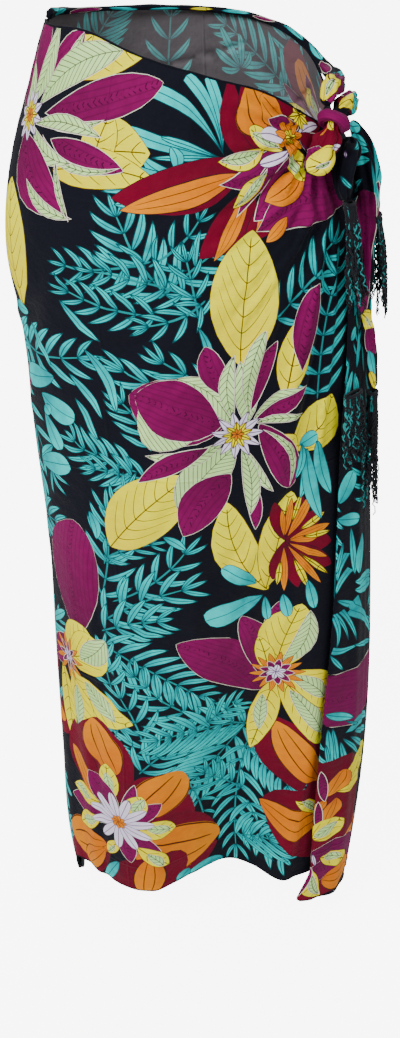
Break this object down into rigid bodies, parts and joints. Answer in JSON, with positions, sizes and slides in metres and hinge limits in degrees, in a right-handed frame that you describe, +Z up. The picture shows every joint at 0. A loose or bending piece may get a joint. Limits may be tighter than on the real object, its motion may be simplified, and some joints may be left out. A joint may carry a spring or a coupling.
{
  "type": "sarong",
  "caption": "Floor-length wrap skirt of thin printed cloth, wound once round a standing figure, knotted at the left hip, with a loose folded end and twisted fringe.",
  "frame": {"origin": "middle of the waist ring, at the height where the wearer's waist holds the cloth", "axes": "+X towards the wearer's left hip and the knot, -Y to the front, +Z up"},
  "size_m": [0.3959, 0.2797, 1.115],
  "materials": {
    "front_cloth": "soft printed rayon",
    "back_cloth": "soft printed rayon",
    "roll_cloth": "soft printed rayon",
    "cascade_cloth": "soft printed rayon",
    "knot_cloth": "soft printed rayon",
    "tail_cloth": "soft printed rayon",
    "fringe_yarn": "twisted yarn"
  },
  "bodies": {
    "root": {"front_wrap": "front_cloth", "back_wrap": "back_cloth", "back_waist_roll": "roll_cloth", "side_cascade": "cascade_cloth", "knot_band": "knot_cloth", "knot_lobes": "knot_cloth", "front_tail": "tail_cloth", "back_tail": "tail_cloth", "front_tail_fringe": "fringe_yarn", "back_tail_fringe": "fringe_yarn", "upper_side_fringe": "fringe_yarn", "lower_side_fringe": "fringe_yarn"}
  },
  "joints": []
}
